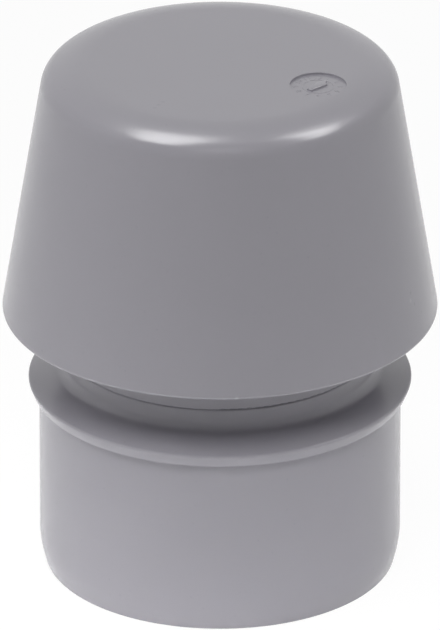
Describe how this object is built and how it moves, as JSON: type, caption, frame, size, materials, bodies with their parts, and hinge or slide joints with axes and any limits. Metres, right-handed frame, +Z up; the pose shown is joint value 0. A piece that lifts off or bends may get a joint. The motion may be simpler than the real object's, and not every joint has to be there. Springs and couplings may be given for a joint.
{
  "type": "air admittance valve",
  "caption": "Grey plastic air admittance valve: conical hood over a ring-shaped air inlet, lifting membrane on two seats, and a flanged plain spigot for a 50 mm waste pipe socket.",
  "frame": {"origin": "on the axis, in the plane of the spigot's lower end", "axes": "+Z up along the axis, from the spigot to the hood; the date mark on top is towards +X and -Y"},
  "size_m": [0.06, 0.06, 0.0746],
  "materials": {
    "grey_plastic": "satin moulded grey, fine even grain",
    "dark_plastic": "matt dark grey",
    "black_rubber": "matt black rubber",
    "white_plastic": "satin natural white"
  },
  "bodies": {
    "valve_body": {"spigot": "grey_plastic", "valve_housing": "grey_plastic", "insect_screen": "dark_plastic", "cap_seal": "black_rubber", "cap": "grey_plastic"},
    "valve_disc": {"membrane": "black_rubber", "membrane_carrier": "white_plastic"}
  },
  "joints": [
    {"name": "membrane_lift", "type": "slide", "parent": "valve_body", "child": "valve_disc", "axis": [0, 0, 1], "range_m": [0, 0.005]}
  ]
}
